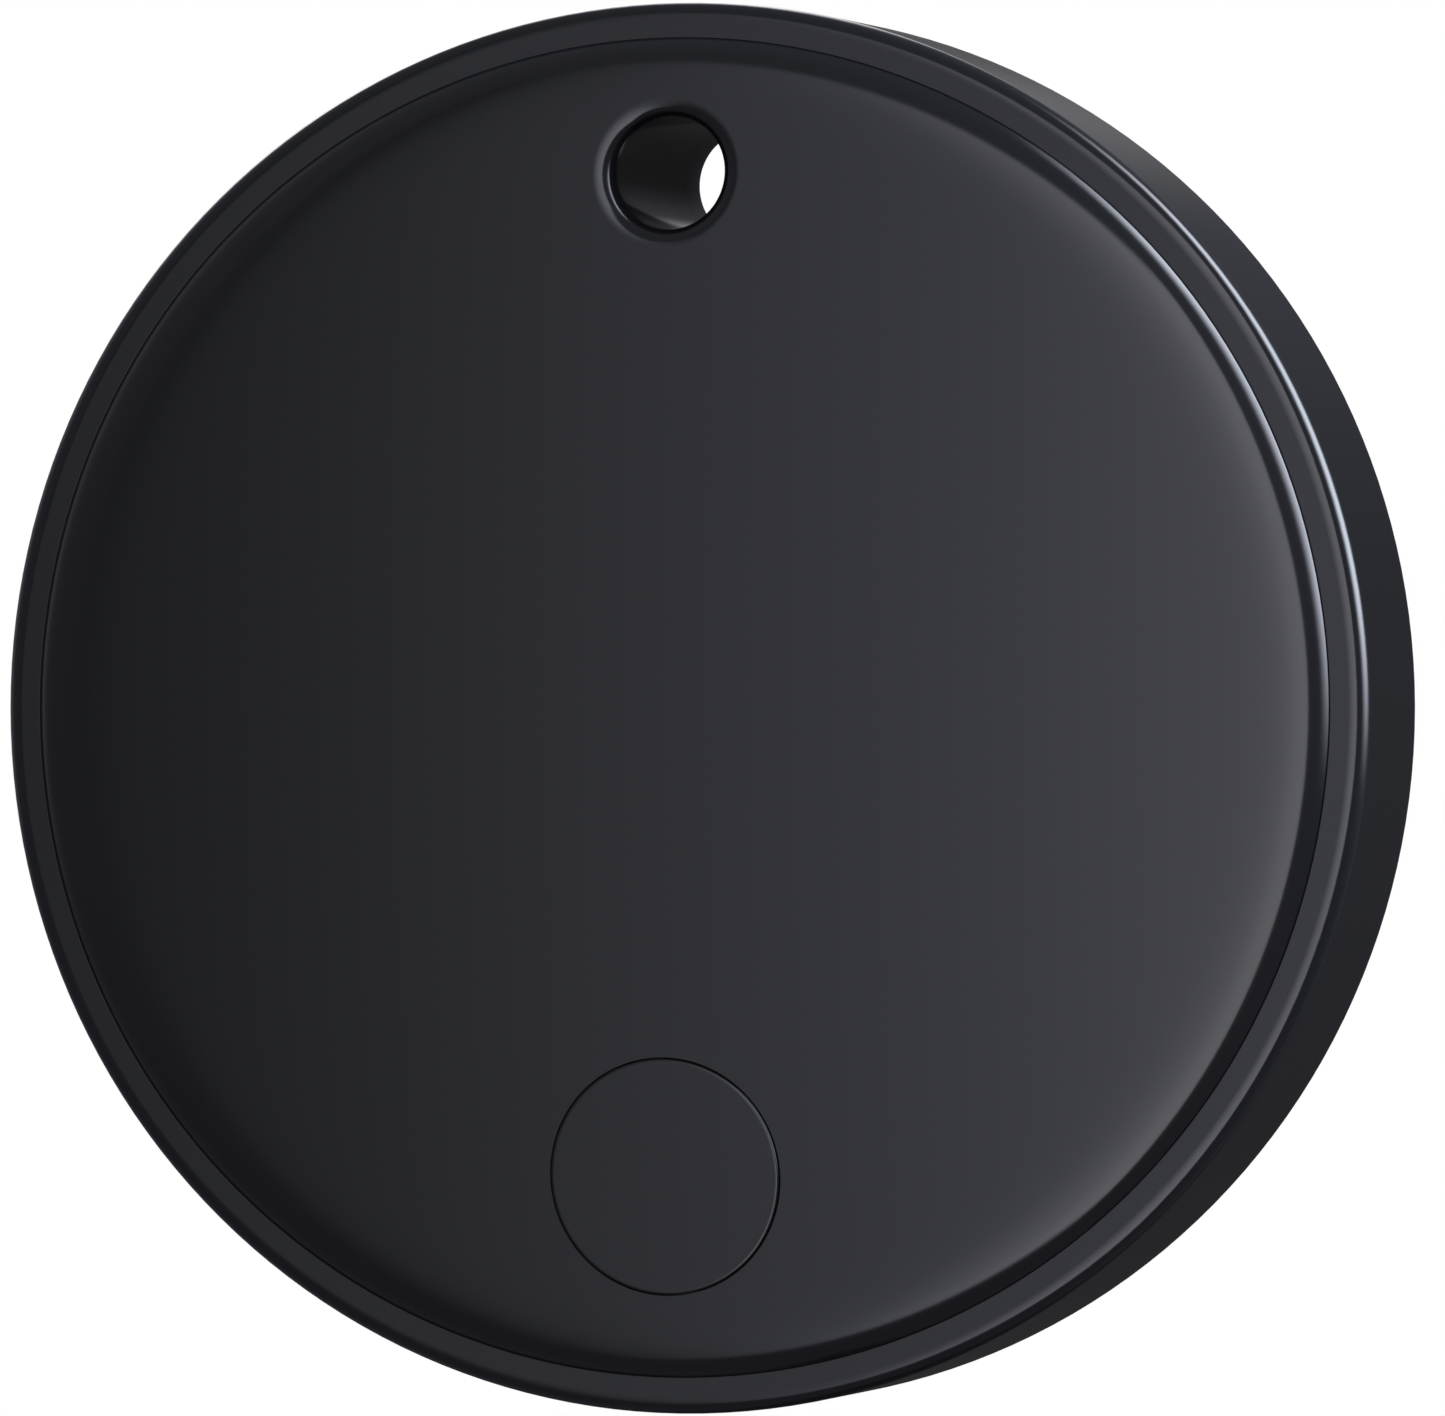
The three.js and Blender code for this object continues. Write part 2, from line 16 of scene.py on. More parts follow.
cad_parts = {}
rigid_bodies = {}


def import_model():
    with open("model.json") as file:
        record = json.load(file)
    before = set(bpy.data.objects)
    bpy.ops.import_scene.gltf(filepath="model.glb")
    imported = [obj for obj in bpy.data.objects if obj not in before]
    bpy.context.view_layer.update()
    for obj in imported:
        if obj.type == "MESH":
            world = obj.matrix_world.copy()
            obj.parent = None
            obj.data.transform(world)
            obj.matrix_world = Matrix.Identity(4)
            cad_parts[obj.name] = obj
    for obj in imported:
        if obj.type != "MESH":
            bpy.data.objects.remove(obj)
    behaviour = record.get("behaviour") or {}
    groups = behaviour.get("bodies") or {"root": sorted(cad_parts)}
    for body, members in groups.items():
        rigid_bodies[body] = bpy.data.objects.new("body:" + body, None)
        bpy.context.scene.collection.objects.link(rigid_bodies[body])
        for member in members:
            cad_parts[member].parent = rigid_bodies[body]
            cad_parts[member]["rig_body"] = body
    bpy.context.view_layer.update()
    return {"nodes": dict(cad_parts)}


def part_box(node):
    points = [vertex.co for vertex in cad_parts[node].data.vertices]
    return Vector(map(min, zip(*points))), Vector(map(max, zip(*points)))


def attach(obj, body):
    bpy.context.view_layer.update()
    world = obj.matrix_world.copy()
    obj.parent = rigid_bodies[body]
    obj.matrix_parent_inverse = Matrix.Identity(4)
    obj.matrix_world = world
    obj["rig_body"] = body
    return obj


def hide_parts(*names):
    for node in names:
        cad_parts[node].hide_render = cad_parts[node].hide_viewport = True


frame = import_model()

bl_info = {
    "name": "Tracker Tag",
    "version": (1, 0, 0),
    "blender": (4, 5, 0),
    "location": "View3D > Sidebar > Tracker Tag",
    "description": "Models a round tracker tag, piece by piece, around its packed frame",
    "category": "Add Mesh",
}

MM = 0.001


# ---------------------------------------------------------------- places and sizes from the frame

CASE_LOW, CASE_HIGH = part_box("outer_frame")
RING_Y = CASE_LOW.y
AXIS_Z = (CASE_LOW.z + CASE_HIGH.z) / 2


def spot(x, up, out):
    """The point of the scene at a place on the tag."""
    return Vector((x * MM, RING_Y - out * MM, AXIS_Z + up * MM))


def way(x, up, out):
    """The same for a distance and not a place."""
    return Vector((x, -out, up)) * MM


def levels(node):
    """How far in front of the ring a node starts and ends, from the rear."""
    low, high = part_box(node)
    return (RING_Y - high.y) / MM, (RING_Y - low.y) / MM


def half_width(node):
    low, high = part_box(node)
    return (high.x - low.x) / 2 / MM


def middle_up(node):
    low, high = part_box(node)
    return ((low.z + high.z) / 2 - AXIS_Z) / MM


CASE_RADIUS = half_width("outer_frame")
COVER_RADIUS = half_width("front_cover")
REAR_RADIUS = half_width("rear_cover")
FLANGE_RADIUS = half_width("button_cap")
CELL_RADIUS = half_width("battery_can")
CARRIER_FLANGE = half_width("battery_carrier")
SEAL_RADIUS = half_width("case_seal")

CASE_REAR = levels("outer_frame")[0]
COVER_REAR, DOME_RISE = levels("front_cover")
REAR_FACE, REAR_SKIRT = levels("rear_cover")
CAP_REAR = levels("button_cap")[0]
CELL_REAR = levels("battery_can")[0]
CELL_FRONT = levels("battery_cap")[1]
CARRIER_REAR, CARRIER_FRONT = levels("battery_carrier")
SEAL_REAR, SEAL_FRONT = levels("case_seal")
WASHER_REAR, WASHER_FRONT = levels("keyring_seal")

HOLE_UP = -AXIS_Z / MM
BUTTON_UP = middle_up("button_cap")

JOINT_LINE = 0.05       # gap that shows between neighbouring pieces
FIT = 0.05              # gap between hidden pieces that rest on each other
SHELL = 1               # thickness of both covers
RING_INNER = COVER_RADIUS + JOINT_LINE
SKIRT_INNER = 17.1      # inside of the skirts of both covers
SKIRT_FRONT = -2.4      # where the front cover's skirt rests on the shelf
SHELF_RADIUS = 16.6     # the frame's inner shelf, which both covers meet
SHELF_FRONT = SKIRT_FRONT - FIT
SHELF_REAR = -3.5
SLEEVE_RADIUS = 2.55    # outside of the keyring sleeve
SLEEVE_CLEARANCE = SLEEVE_RADIUS + 0.3
DOME_RADIUS = 157
FLAT = 9                # where a cover's outer face waits, flat, before it takes its curve
UNDER = -9              # the same for its inner face
FINE = 1e-4             # millimetres that count as no distance
HOLD = 0.02             # how near an edge the points lie that keep its neighbours flat


# ---------------------------------------------------------------- what a user would change


class TagSizes(bpy.types.PropertyGroup):
    """Sizes of the casing's edges and mouths"""

    front_fillet: FloatProperty(
        name="Front Fillet", description="Radius of the ring's outer front edge",
        default=0.5 * MM, unit="LENGTH")
    ring_fall: FloatProperty(
        name="Ring Fall", description="How far the ring leans back across its width",
        default=0.026 * MM, unit="LENGTH")
    roll_depth: FloatProperty(
        name="Roll Depth", description="How far the panel's border has rolled down where it meets the ring",
        default=0.52 * MM, unit="LENGTH")
    roll_length: FloatProperty(
        name="Roll Length", description="Width over which the roll grows about threefold",
        default=0.4 * MM, unit="LENGTH")
    panel_groove: FloatProperty(
        name="Panel Groove", description="Width of the joint line round the panel",
        default=0.012 * MM, unit="LENGTH")
    button_groove: FloatProperty(
        name="Button Groove", description="Width of the joint line round the button",
        default=0.03 * MM, unit="LENGTH")
    bore_radius: FloatProperty(
        name="Bore Radius", description="Radius of the keyring hole",
        default=1.525 * MM, unit="LENGTH")
    front_mouth: FloatProperty(
        name="Front Mouth", description="Width of the rounding at the front of the hole",
        default=0.5 * MM, unit="LENGTH")
    rear_mouth: FloatProperty(
        name="Rear Mouth", description="Width of the rounding at the rear of the hole",
        default=0.35 * MM, unit="LENGTH")
    rear_shoulder: FloatProperty(
        name="Rear Shoulder", description="Width of the rear cover's rounded shoulder",
        default=1.95 * MM, unit="LENGTH")
    button_radius: FloatProperty(
        name="Button Radius", description="Radius of the push button's cap",
        default=3.17 * MM, unit="LENGTH")
    button_rise: FloatProperty(
        name="Button Rise", description="How far the cap stands in front of the panel",
        default=0.08 * MM, unit="LENGTH")
    edge: FloatProperty(
        name="Edge", description="Radius of the small moulded edges",
        default=0.06 * MM, unit="LENGTH")
    around: IntProperty(
        name="Steps Around", description="Steps round the casing's outlines",
        default=192, min=24)


class TagColours(bpy.types.PropertyGroup):
    """Colours of the tag's finishes"""

    casing: FloatVectorProperty(
        name="Casing", description="Satin black plastic of the casing",
        default=(0.008, 0.0082, 0.0094), subtype="COLOR")
    tray: FloatVectorProperty(
        name="Tray", description="Matt black plastic inside the casing",
        default=(0.014, 0.014, 0.0145), subtype="COLOR")
    silicone: FloatVectorProperty(
        name="Silicone", description="Black silicone of the seals",
        default=(0.022, 0.022, 0.024), subtype="COLOR")
    lacquer: FloatVectorProperty(
        name="Lacquer", description="Green lacquer on the circuit board",
        default=(0.008, 0.07, 0.035), subtype="COLOR")
    floor: FloatVectorProperty(
        name="Floor", description="The plain pale floor",
        default=(0.8, 0.8, 0.8), subtype="COLOR")


def size(name):
    """One of the user's sizes, in millimetres."""
    return getattr(bpy.context.scene.tag_sizes, name) / MM


def around():
    return bpy.context.scene.tag_sizes.around


def colour(name):
    return tuple(getattr(bpy.context.scene.tag_colours, name))


# ---------------------------------------------------------------- shader maths


class Wire:
    """An output socket that takes part in sums: each operator adds its Math node."""

    def __init__(self, nodes, socket):
        self.nodes = nodes
        self.socket = socket

    def maths(self, operation, first, second=0.0):
        return self.nodes.node("ShaderNodeMath", {"operation": operation}, {0: first, 1: second})

    def __add__(self, other):
        return self.maths("ADD", self, other)

    def __radd__(self, other):
        return self.maths("ADD", other, self)

    def __sub__(self, other):
        return self.maths("SUBTRACT", self, other)

    def __rsub__(self, other):
        return self.maths("SUBTRACT", other, self)

    def __mul__(self, other):
        return self.maths("MULTIPLY", self, other)

    def __rmul__(self, other):
        return self.maths("MULTIPLY", other, self)

    def sine(self):
        return self.maths("SINE", self)

    def arcsine(self):
        return self.maths("ARCSINE", self)

    def bearing(self, other):
        return self.maths("ARCTAN2", self, other)

    def root(self):
        return self.maths("SQRT", self)

    def rise(self, low, high):
        """Goes smoothly from 0 at low to 1 at high."""
        return self.nodes.node(
            "ShaderNodeMapRange", {"interpolation_type": "SMOOTHSTEP"}, {0: self, 1: low, 2: high})

    def window(self, low, high, soft):
        """1 between low and high, and fades to 0 over a width on either side."""
        return self.rise(low - soft, low + soft) * (1 - self.rise(high - soft, high + soft))


class Nodes:
    """A node tree that expressions add their nodes to."""

    def __init__(self, tree):
        self.tree = tree

    def node(self, kind, settings=None, sockets=None, output=0):
        """Adds a node, sets its settings and then its sockets, and gives back one of its outputs."""
        made = self.tree.nodes.new(kind)
        for name, value in (settings or {}).items():
            if name == "stops":
                self.set_stops(made.color_ramp, value)
            else:
                setattr(made, name, value)
        for name, value in (sockets or {}).items():
            self.join(value, made.inputs[name])
        return Wire(self, made.outputs[output])

    def set_stops(self, ramp, stops):
        for index, (place, shade) in enumerate(stops):
            stop = ramp.elements[index] if index < 2 else ramp.elements.new(place)
            stop.position = place
            stop.color = (*shade, 1)

    def join(self, value, socket):
        if isinstance(value, Wire):
            self.tree.links.new(value.socket, socket)
        elif socket.type == "RGBA":
            socket.default_value = (*value, 1)
        else:
            socket.default_value = value

    def blend(self, share, first, second):
        """A colour between two others."""
        return self.node("ShaderNodeMix", {"data_type": "RGBA"}, {0: share, 6: first, 7: second}, 2)

    def apart(self, vector):
        """The three numbers of a vector."""
        split = self.node("ShaderNodeSeparateXYZ", None, {0: vector}).socket.node
        return [Wire(self, socket) for socket in split.outputs]


class Finish(Nodes):
    """A material under way."""

    def __init__(self, name, shade, roughness, metallic=0.0, constants=None):
        self.material = bpy.data.materials.new(name)
        self.material.use_nodes = True
        super().__init__(self.material.node_tree)
        self.shader = self.tree.nodes["Principled BSDF"]
        self.vary("Base Color", shade)
        self.vary("Roughness", roughness)
        self.vary("Metallic", metallic)
        for socket, value in (constants or {}).items():
            self.vary(socket, value)

    def vary(self, socket, value):
        self.join(value, self.shader.inputs[socket])

    def place(self, x=0.0, up=0.0):
        """Millimetres from a point on the tag, as a vector."""
        centred = self.node(
            "ShaderNodeVectorMath", {"operation": "SUBTRACT"},
            {0: self.node("ShaderNodeTexCoord", output="Object"), 1: spot(x, up, 0)})
        return self.node("ShaderNodeVectorMath", {"operation": "SCALE"}, {0: centred, "Scale": 1 / MM})

    def noise(self, grain, detail=2.0, stretch=(1, 1, 1), place=None):
        """Noise from 0 to 1 whose grains are about that many millimetres across."""
        scaled = self.node(
            "ShaderNodeVectorMath", {"operation": "MULTIPLY"},
            {0: place or self.place(), 1: Vector(stretch) / grain})
        return self.node("ShaderNodeTexNoise", None, {"Vector": scaled, "Scale": 1.0, "Detail": detail})

    def cells(self, width, place=None, **settings):
        sockets = {"Vector": place or self.place(), "Scale": 1 / width}
        return self.node("ShaderNodeTexVoronoi", settings, sockets, "Distance")

    def turned_marks(self, grain, up=0.0, detail=2.0):
        """Fine marks round an axis of the tag, as a lathe or a press leaves them."""
        x, y, z = self.apart(self.place(0, up))
        radius = (x * x + z * z).root()
        rings = self.node("ShaderNodeCombineXYZ", None, {0: radius, 1: y})
        return self.noise(grain, detail, place=rings)

    def bump(self, height, depth):
        """Bumps the surface by up to a depth in millimetres."""
        self.vary("Normal", self.node("ShaderNodeBump", None, {"Height": height, "Distance": depth * MM}))


# ---------------------------------------------------------------- finishes


def shaded(shade, factor):
    return tuple(factor * part for part in shade)


def casing_plastic():
    """Satin black plastic with a very fine even grain."""
    finish = Finish("casing_plastic", colour("casing"), 0.25)
    grain = finish.noise(0.07, 1.0)
    cloud = finish.noise(6, 2.0)
    finish.vary("Roughness", 0.12 + 0.02 * cloud + 0.02 * grain)
    finish.bump(grain, 0.0001)
    return finish.material


def tray_plastic():
    """Matt black plastic with a spark-eroded grain."""
    finish = Finish("tray_plastic", colour("tray"), 0.5)
    grain = finish.noise(0.12, 2.0)
    finish.vary("Roughness", 0.4 + 0.2 * grain)
    finish.bump(grain, 0.006)
    return finish.material


def silicone_rubber():
    """Black silicone, clouded and a little dusty."""
    finish = Finish("silicone_rubber", colour("silicone"), 0.6)
    cloud = finish.noise(1.2, 3.0)
    dust = finish.cells(0.35).rise(0.12, 0.05)
    clean = shaded(colour("silicone"), 0.85)
    dusty = shaded(colour("silicone"), 1.3)
    finish.vary("Base Color", finish.blend(cloud * 0.6 + dust * 0.4, clean, dusty))
    finish.vary("Roughness", 0.5 + 0.2 * cloud)
    finish.bump(cloud, 0.004)
    return finish.material


def nickel_steel():
    """Bright nickel plating with fine pressed rings and light handling marks."""
    finish = Finish("nickel_steel", (0.6, 0.6, 0.61), 0.25, 1.0)
    rings = finish.turned_marks(0.05)
    rubs = finish.noise(0.12, 2.0, (1, 1, 0.04))
    stain = finish.noise(3, 3.0)
    finish.vary("Base Color", finish.blend(stain, (0.55, 0.55, 0.555), (0.66, 0.655, 0.65)))
    finish.vary("Roughness", 0.16 + 0.1 * rings + 0.1 * rubs)
    finish.bump(rings, 0.0012)
    return finish.material


def spring_bronze():
    """Rolled spring strip, with its grain along the strip."""
    finish = Finish("spring_bronze", (0.62, 0.47, 0.22), 0.25, 1.0)
    grain = finish.noise(0.05, 2.0, (0.06, 0.06, 1))
    stain = finish.noise(1.5, 3.0)
    finish.vary("Base Color", finish.blend(stain, (0.56, 0.4, 0.17), (0.7, 0.55, 0.28)))
    finish.vary("Roughness", 0.18 + 0.18 * grain)
    finish.bump(grain, 0.0012)
    return finish.material


def rolled_brass():
    finish = Finish("rolled_brass", (0.62, 0.44, 0.15), 0.28, 1.0)
    grain = finish.noise(0.05, 2.0, (0.04, 1, 1))
    stain = finish.noise(2.5, 3.0)
    finish.vary("Base Color", finish.blend(stain, (0.55, 0.37, 0.11), (0.7, 0.52, 0.2)))
    finish.vary("Roughness", 0.2 + 0.12 * grain + 0.12 * stain)
    finish.bump(grain, 0.0012)
    return finish.material


def board_lacquer():
    """Green lacquer over copper tracks, which stand out a little and look lighter."""
    bare = colour("lacquer")
    red, green, blue = bare
    over_copper = (2.2 * red, 2.2 * green, 2.0 * blue)
    finish = Finish("board_lacquer", bare, 0.35)
    field = finish.cells(2.4, distance="MANHATTAN", feature="F2")
    tracks = (field * 22.0).sine().rise(0.45, 0.7)
    weave = finish.noise(0.25, 1.0)
    finish.vary("Base Color", finish.blend(tracks, bare, over_copper))
    finish.vary("Roughness", 0.26 + 0.12 * weave)
    finish.bump(tracks, 0.02)
    return finish.material


def chip_epoxy():
    finish = Finish("chip_epoxy", (0.012, 0.012, 0.0125), 0.5)
    grain = finish.noise(0.05, 2.0)
    finish.vary("Roughness", 0.4 + 0.25 * grain)
    finish.bump(grain, 0.003)
    return finish.material


def pale_ceramic():
    finish = Finish("pale_ceramic", (0.66, 0.62, 0.52), 0.5)
    grain = finish.noise(0.08, 3.0)
    finish.vary("Base Color", finish.blend(grain, (0.56, 0.52, 0.42), (0.76, 0.73, 0.64)))
    finish.vary("Roughness", 0.4 + 0.2 * grain)
    finish.bump(grain, 0.003)
    return finish.material


def capacitor_ceramic():
    finish = Finish("capacitor_ceramic", (0.3, 0.19, 0.1), 0.45)
    grain = finish.noise(0.06, 2.0)
    finish.vary("Base Color", finish.blend(grain, (0.23, 0.14, 0.075), (0.37, 0.25, 0.14)))
    finish.vary("Roughness", 0.38 + 0.2 * grain)
    finish.bump(grain, 0.003)
    return finish.material


def cell_foam():
    """Charcoal foam with closed cells, whose hollows are painted darker as shade and whose rims are painted
    lighter.
    """
    finish = Finish("cell_foam", (0.035, 0.035, 0.037), 0.9)
    bubbles = finish.cells(0.24)
    painted_shade_hollow, rim = (0.018, 0.018, 0.019), (0.07, 0.07, 0.073)
    # Painted shade: the cell hollows get a darker colour and the cell rims a lighter one, as if light fell
    # on the cells
    finish.vary("Base Color", finish.blend(bubbles.rise(0.1, 0.7), painted_shade_hollow, rim))
    finish.vary("Roughness", 0.8 + 0.15 * bubbles)
    finish.bump(bubbles, 0.06)
    return finish.material


FINISHES = {
    "black_plastic": casing_plastic,
    "inner_plastic": tray_plastic,
    "silicone": silicone_rubber,
    "foam": cell_foam,
    "board": board_lacquer,
    "chip": chip_epoxy,
    "ceramic": pale_ceramic,
    "capacitor": capacitor_ceramic,
    "steel": nickel_steel,
    "spring_metal": spring_bronze,
    "brass": rolled_brass,
}

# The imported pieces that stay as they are, and the slot that each takes its finish from
KEPT = {
    "inner_plastic": ["switch_base", "switch_stem"],
    "steel": ["switch_plate", "switch_dome", "crystal_main", "crystal_clock"],
    "board": ["circuit_board"],
    "chip": ["bluetooth_chip", "boost_inductor", "amplifier_chip", "resistor_1", "resistor_2"],
    "capacitor": ["capacitor_1", "capacitor_2", "capacitor_3", "capacitor_4"],
    "ceramic": ["chip_antenna", "piezo_ceramic"],
    "brass": ["piezo_plate"],
    "spring_metal": [
        "piezo_contact_inner", "piezo_contact_outer", "battery_contact_positive", "battery_contact_negative",
    ],
}


def finish_for(slot):
    make = FINISHES[slot]
    return bpy.data.materials.get(make.__name__) or make()


# ---------------------------------------------------------------- modelling by hand


def only(piece):
    """Makes one object the selected and active one."""
    bpy.ops.object.select_all(action="DESELECT")
    piece.select_set(True)
    bpy.context.view_layer.objects.active = piece


def edit(piece):
    """Opens a piece for editing with all of it selected."""
    only(piece)
    bpy.ops.object.mode_set(mode="EDIT")
    bpy.ops.mesh.select_mode(type="VERT")
    bpy.ops.mesh.select_all(action="SELECT")


def close():
    bpy.ops.object.mode_set(mode="OBJECT")


def named(name):
    """The object that an operator has just added, under its name."""
    piece = bpy.context.object
    piece.name = name
    piece.data.name = name
    return piece


def settle(piece):
    """Puts an object's place, turn and scale into its mesh."""
    only(piece)
    bpy.ops.object.transform_apply(location=True, rotation=True, scale=True)


def outward(piece):
    """Merges points that coincide and turns every face outwards."""
    edit(piece)
    bpy.ops.mesh.remove_doubles(threshold=FINE * MM)
    bpy.ops.mesh.normals_make_consistent(inside=False)
    close()


def smooth(piece, angle=35):
    only(piece)
    bpy.ops.object.shade_smooth_by_angle(angle=math.radians(angle))


def combine(piece, operation, others):
    """Adds other objects to a piece or cuts them out of it, and removes them."""
    for other in others:
        only(piece)
        modifier = piece.modifiers.new("combine", "BOOLEAN")
        modifier.object = other
        modifier.operation = operation
        modifier.solver = "EXACT"
        bpy.ops.object.modifier_apply(modifier=modifier.name)
        bpy.data.objects.remove(other)


def carve(piece, *tools):
    combine(piece, "DIFFERENCE", tools)


def unite(piece, *others):
    combine(piece, "UNION", others)


def along(start, end, steps, ease=1.0):
    """Steps from one tuple to another, without the first, and closer together at the end."""
    points = []
    for step in range(1, steps + 1):
        share = 1 - (1 - step / steps) ** ease
        points.append(tuple(a + (b - a) * share for a, b in zip(start, end)))
    return points


def arc(radius, out, across, depth, start, end, steps):
    """(radius, out) points on an ellipse, from one angle to another in degrees."""
    points = []
    for step in range(steps + 1):
        angle = math.radians(start + (end - start) * step / steps)
        points.append((radius + across * math.cos(angle), out + depth * math.sin(angle)))
    return points


def line(name, points):
    """A piece that is a line through points, drawn by extruding a vertex from each to the next."""
    bpy.ops.object.select_all(action="DESELECT")
    bpy.ops.mesh.primitive_plane_add(size=MM)
    piece = named(name)
    edit(piece)
    bpy.ops.mesh.merge(type="CENTER")
    bpy.ops.transform.translate(value=points[0])
    for before, after in zip(points, points[1:]):
        bpy.ops.mesh.extrude_vertices_move(TRANSFORM_OT_translate={"value": after - before})
    close()
    return piece


def held(outline):
    """Adds points close to both ends of each long line, so that it shades flat beside a rounding."""
    points = [outline[0]]
    for before, after in zip(outline, outline[1:]):
        length = math.dist(before, after)
        if length > 5 * HOLD:
            share = HOLD / length
            points += [tuple(a + (b - a) * at for a, b in zip(before, after)) for at in (share, 1 - share)]
        points.append(after)
    return points


def turned(name, outline, steps=None, x=0.0, up=0.0):
    """Spins (radius, out) points about an axis of the tag. The outline starts and ends on the axis,
    or is closed here."""
    if outline[0][0] > 0 or outline[-1][0] > 0:
        outline = [*outline, outline[0]]
    outline = held(outline)
    piece = line(name, [spot(x + radius, up, out) for radius, out in outline])
    edit(piece)
    bpy.ops.mesh.spin(
        steps=steps or around(), angle=2 * math.pi, center=spot(x, up, 0), axis=(0, 1, 0))
    close()
    outward(piece)
    return piece


def stacked(name, rings, steps=None):
    """A tube through round rings, each (radius, out, up), by extruding and scaling one circle."""
    radius, out, up = rings[0]
    bpy.ops.object.select_all(action="DESELECT")
    bpy.ops.mesh.primitive_circle_add(
        vertices=steps or around(), radius=radius * MM, location=spot(0, up, out),
        rotation=(math.pi / 2, 0, 0))
    piece = named(name)
    settle(piece)
    edit(piece)
    bpy.ops.mesh.select_mode(type="EDGE")
    for before, after in zip(rings, rings[1:]):
        shift = way(0, after[2] - before[2], after[1] - before[1])
        growth = after[0] / before[0]
        bpy.ops.mesh.extrude_edges_move(TRANSFORM_OT_translate={"value": shift})
        bpy.ops.transform.resize(
            value=(growth, 1, growth), center_override=spot(0, after[2], after[1]))
    close()
    return piece


def slab(name, low, high, bevel=0.0, turn=0.0, segments=3):
    """A block between two (x, up, out) corners, with rounded edges, turned about the tag's axis."""
    a, b = spot(*low), spot(*high)
    bpy.ops.object.select_all(action="DESELECT")
    bpy.ops.mesh.primitive_cube_add(size=1, location=(a + b) / 2)
    piece = named(name)
    piece.scale = [abs(side) for side in b - a]
    settle(piece)
    edit(piece)
    if bevel:
        bpy.ops.mesh.bevel(offset=bevel * MM, segments=segments, affect="EDGES")
        bpy.ops.mesh.select_all(action="SELECT")
    if turn:
        bpy.ops.transform.rotate(
            value=math.radians(turn), orient_axis="Y", center_override=spot(0, 0, 0))
    close()
    return piece


def rod(name, radius, rear, front, x=0.0, up=0.0, steps=96):
    """A plain round tool."""
    bpy.ops.object.select_all(action="DESELECT")
    bpy.ops.mesh.primitive_cylinder_add(
        vertices=steps, radius=radius * MM, depth=(front - rear) * MM,
        location=spot(x, up, (rear + front) / 2), rotation=(math.pi / 2, 0, 0))
    piece = named(name)
    settle(piece)
    return piece


def hand_over(piece, node, slot):
    """Gives a finished piece its finish and the body it moves with, and hides the imported node it stands
    for.
    """
    piece.data.materials.clear()
    piece.data.materials.append(finish_for(slot))
    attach(piece, frame["nodes"][node]["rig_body"])
    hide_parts(node)


# ---------------------------------------------------------------- curves of the casing


def crown(radius):
    """How far the plain dome of the front panel stands in front of the ring."""
    return DOME_RISE - radius ** 2 / (2 * DOME_RADIUS)


def panel_height(radius):
    """How far the whole panel stands in front of the ring: the dome, and the roll along its border."""
    return crown(radius) - size("roll_depth") * math.exp((radius - RING_INNER) / size("roll_length"))


def rear_height(radius):
    """Where the rear cover's outer face lies."""
    foot = CASE_REAR - JOINT_LINE
    shoulder = size("rear_shoulder")
    share = min(max((radius - REAR_RADIUS) / shoulder + 1, 0), 1)
    return foot + (REAR_FACE - foot) * math.sqrt(1 - share ** 2)


def mouth_drop(distance, width):
    """How far a face falls away, at a distance from the axis of the keyring hole."""
    share = 1 - (distance - size("bore_radius")) / width
    if share <= 0:
        return 0.0
    return width * (1 - math.sqrt(1 - min(share, 1.0) ** 2))


def reshape(piece, chosen, height):
    """Moves the points at one level to height(distance from the tag's axis, from the hole's axis)."""
    level = spot(0, 0, chosen).y
    for vertex in piece.data.vertices:
        if abs(vertex.co.y - level) < FINE * MM:
            x = vertex.co.x / MM
            up = (vertex.co.z - AXIS_Z) / MM
            vertex.co.y = RING_Y - height(math.hypot(x, up), math.hypot(x, up - HOLE_UP)) * MM
    piece.data.update()


def follow_dome(piece):
    """Shifts a piece drawn about the level of the ring so that this level becomes the dome."""
    for vertex in piece.data.vertices:
        radius = math.hypot(vertex.co.x, vertex.co.z - AXIS_Z) / MM
        vertex.co.y -= crown(radius) * MM
    piece.data.update()


def mouth_rings(width):
    """Rings for the rounded mouth of the keyring hole, from its bore outwards."""
    bore = size("bore_radius")
    turns = range(0, 91, 9)
    return [(bore + width * (1 - math.cos(math.radians(turn))), FLAT, HOLE_UP) for turn in turns]


# ---------------------------------------------------------------- casing


class TAG_OT_outer_frame(bpy.types.Operator):
    """Model the side wall with its front ring, its inner shelf and the pry notch"""

    bl_idname = "tag.outer_frame"
    bl_label = "Outer Frame"

    def execute(self, context):
        fillet = size("front_fillet")
        fall = size("ring_fall")
        edge = size("edge") / 6
        rear_edge = 0.12
        lean = math.degrees(math.atan(fall / (CASE_RADIUS - fillet - RING_INNER)))
        outline = [
            (SHELF_RADIUS, SHELF_FRONT),
            (SHELF_RADIUS, SHELF_REAR),
            (RING_INNER, SHELF_REAR),
            *arc(RING_INNER + edge, CASE_REAR + edge, edge, edge, 180, 270, 3),
            *arc(CASE_RADIUS - rear_edge, CASE_REAR + rear_edge, rear_edge, rear_edge, 270, 360, 5),
            (CASE_RADIUS, -2),
            *arc(CASE_RADIUS - fillet, -fall - fillet, fillet, fillet, 0, 90 - lean, 16),
            *arc(RING_INNER + edge, -edge, edge, edge, 90, 180, 3),
            (RING_INNER, SHELF_FRONT),
        ]
        piece = turned("casing_frame", outline)
        notch_half, notch_depth, notch_round = 3.5, 0.7, 0.3
        past = 1
        notch = slab(
            "pry_notch", (-notch_half, -CASE_RADIUS - past, CASE_REAR - past),
            (notch_half, -RING_INNER + past, CASE_REAR + notch_depth), notch_round)
        sleeve = rod("sleeve_notch", SLEEVE_CLEARANCE, SHELF_REAR - past, SHELF_FRONT + past, up=HOLE_UP)
        carve(piece, notch, sleeve)
        smooth(piece)
        hand_over(piece, "outer_frame", "black_plastic")
        return {"FINISHED"}


